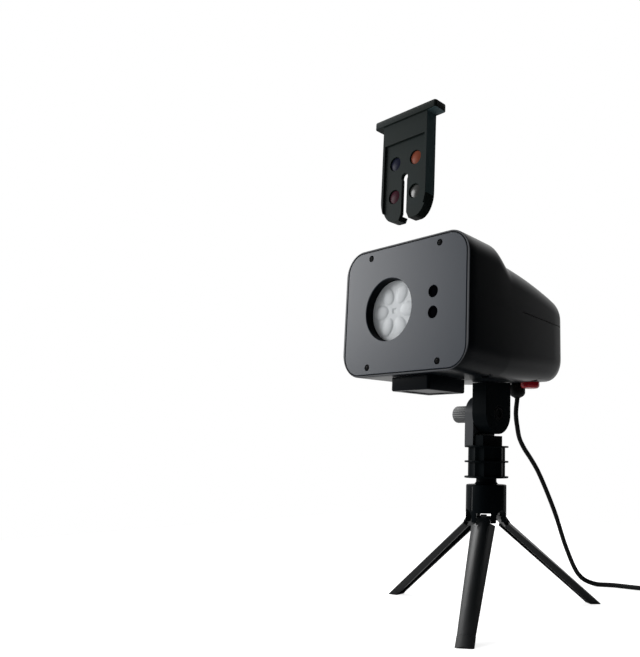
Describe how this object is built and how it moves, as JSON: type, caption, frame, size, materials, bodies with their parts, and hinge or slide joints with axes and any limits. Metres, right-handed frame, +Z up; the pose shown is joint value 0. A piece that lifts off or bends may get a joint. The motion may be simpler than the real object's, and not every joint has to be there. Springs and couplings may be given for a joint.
{
  "type": "laser projector",
  "caption": "Small laser and slide projector head with a turning lens disc, clamped on a folding tabletop tripod, with a drop-in slide card and a power cord",
  "frame": {"origin": "on the floor under the middle of the projector's own box, without its cord", "axes": "+Z up, the lens looks along -Y, +X is on the right as seen from behind the lens"},
  "size_m": [0.2608, 0.3082, 0.373],
  "materials": {
    "shell_black": "satin",
    "panel_charcoal": "satin",
    "tripod_black": "satin",
    "inside_plastic": "matte",
    "dark_window": "gloss",
    "frosted_lens": "frosted",
    "card_plastic": "satin",
    "button_red": "satin",
    "cord_rubber": "matte",
    "dark_steel": "dark",
    "bright_steel": "brushed",
    "circuit_board": "matte",
    "lamp_dome": "gloss",
    "filter_violet": "gloss",
    "filter_magenta": "gloss",
    "filter_orange": "gloss",
    "filter_clear": "gloss"
  },
  "bodies": {
    "stand": {"tripod_hub": "tripod_black", "tripod_stud": "bright_steel", "leg_pin_1": "bright_steel", "leg_pin_2": "bright_steel", "leg_pin_3": "bright_steel"},
    "post": {"tilt_post": "tripod_black", "cord_coil": "cord_rubber", "coil_tie": "inside_plastic", "usb_plug": "inside_plastic", "usb_shell": "bright_steel"},
    "head": {"upper_shell": "shell_black", "lower_shell": "shell_black", "tilt_lug": "shell_black", "sensor_pod": "shell_black", "power_switch": "shell_black", "gland_nut": "shell_black", "front_panel": "panel_charcoal", "light_frame": "inside_plastic", "laser_bracket": "inside_plastic", "laser_window_1": "dark_window", "laser_window_2": "dark_window", "sensor_window": "dark_window", "cord_gland": "cord_rubber", "cord": "cord_rubber", "panel_screw_1": "dark_steel", "panel_screw_2": "dark_steel", "panel_screw_3": "dark_steel", "panel_screw_4": "dark_steel", "housing_screw_1": "dark_steel", "housing_screw_2": "dark_steel", "housing_screw_3": "dark_steel", "housing_screw_4": "dark_steel", "tilt_nut": "bright_steel", "heat_sink": "bright_steel", "motor": "bright_steel", "laser_module_1": "bright_steel", "laser_module_2": "bright_steel", "led_board": "circuit_board", "control_board": "circuit_board", "led_1": "lamp_dome", "led_2": "lamp_dome", "led_3": "lamp_dome", "led_4": "lamp_dome"},
    "clamp": {"clamp_knob": "tripod_black", "clamp_bolt": "bright_steel"},
    "lens": {"lens_disc": "frosted_lens", "motor_shaft": "bright_steel"},
    "button": {"power_button": "button_red"},
    "card": {"slide_card": "card_plastic", "card_window_1": "filter_violet", "card_window_2": "filter_magenta", "card_window_3": "filter_orange", "card_window_4": "filter_clear"},
    "leg_1": {"leg_1": "tripod_black", "foot_1": "cord_rubber"},
    "leg_2": {"leg_2": "tripod_black", "foot_2": "cord_rubber"},
    "leg_3": {"leg_3": "tripod_black", "foot_3": "cord_rubber"}
  },
  "joints": [
    {"name": "pan", "type": "hinge", "parent": "stand", "child": "post", "pos_m": [0.019, 0.00565, 0.0979], "axis": [0, 0, 1], "range_deg": [-90, 150]},
    {"name": "head_tilt", "type": "hinge", "parent": "post", "child": "head", "pos_m": [0.019, 0.00565, 0.1474], "axis": [1, 0, 0], "range_deg": [-45, 60]},
    {"name": "clamp_turn", "type": "hinge", "parent": "post", "child": "clamp", "pos_m": [0.008, 0.00565, 0.1474], "axis": [1, 0, 0], "continuous": true},
    {"name": "lens_turn", "type": "hinge", "parent": "head", "child": "lens", "pos_m": [0.0048, -0.08635, 0.2162], "axis": [0, 1, 0], "continuous": true},
    {"name": "button_press", "type": "slide", "parent": "head", "child": "button", "axis": [0, 0, 1], "range_m": [0, 0.0015], "stiffness_N_per_m": 900, "springref_m": -0.001},
    {"name": "card_lift", "type": "slide", "parent": "head", "child": "card", "axis": [0, 0, 1], "range_m": [-0.104, 0]},
    {"name": "leg_1_fold", "type": "hinge", "parent": "stand", "child": "leg_1", "pos_m": [0.0253, -0.00526, 0.068], "axis": [0.866, 0.5, 0], "range_deg": [0, 51]},
    {"name": "leg_2_fold", "type": "hinge", "parent": "stand", "child": "leg_2", "pos_m": [0.0253, 0.01656, 0.068], "axis": [-0.866, 0.5, 0], "range_deg": [0, 51]},
    {"name": "leg_3_fold", "type": "hinge", "parent": "stand", "child": "leg_3", "pos_m": [0.0064, 0.00565, 0.068], "axis": [0, -1, 0], "range_deg": [0, 51]}
  ]
}
